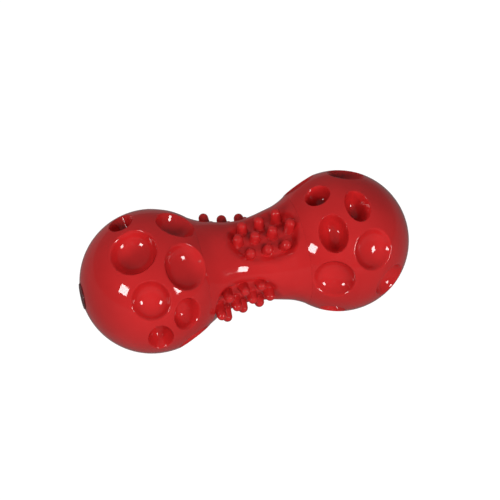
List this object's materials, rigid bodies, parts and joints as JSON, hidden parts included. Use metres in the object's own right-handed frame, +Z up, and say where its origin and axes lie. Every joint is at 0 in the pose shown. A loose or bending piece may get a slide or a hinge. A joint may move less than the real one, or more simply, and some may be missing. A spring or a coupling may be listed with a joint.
{
  "type": "squeaky dumbbell dog toy",
  "caption": "Soft red dog toy: two hollow balls with round pits, joined by a concave grip with pads of nubs, and a reed squeaker in one pole.",
  "frame": {"origin": "on the floor, under the middle of the toy", "axes": "+X along the toy from the squeaker's end to the plain end, +Z up, the side seen first faces -Y"},
  "size_m": [0.1509, 0.064, 0.0635],
  "materials": {
    "soft_red": "glossy soft moulded skin",
    "squeaker_shell": "smooth hard plastic, dark red",
    "reed_plastic": "smooth hard plastic, natural white"
  },
  "bodies": {
    "toy": {"left_ball": "soft_red", "grip": "soft_red", "right_ball": "soft_red", "squeaker_body": "squeaker_shell", "squeaker_cap": "squeaker_shell", "reed_holder": "reed_plastic", "reed_wedge": "reed_plastic"},
    "reed_blade": {"reed": "reed_plastic"}
  },
  "joints": [
    {"name": "reed_flex", "type": "hinge", "parent": "toy", "child": "reed_blade", "pos_m": [-0.0694, 0, 0.03152], "axis": [0, 1, 0], "range_deg": [-2.5, 3], "stiffness_Nm_per_rad": 0.0005}
  ]
}
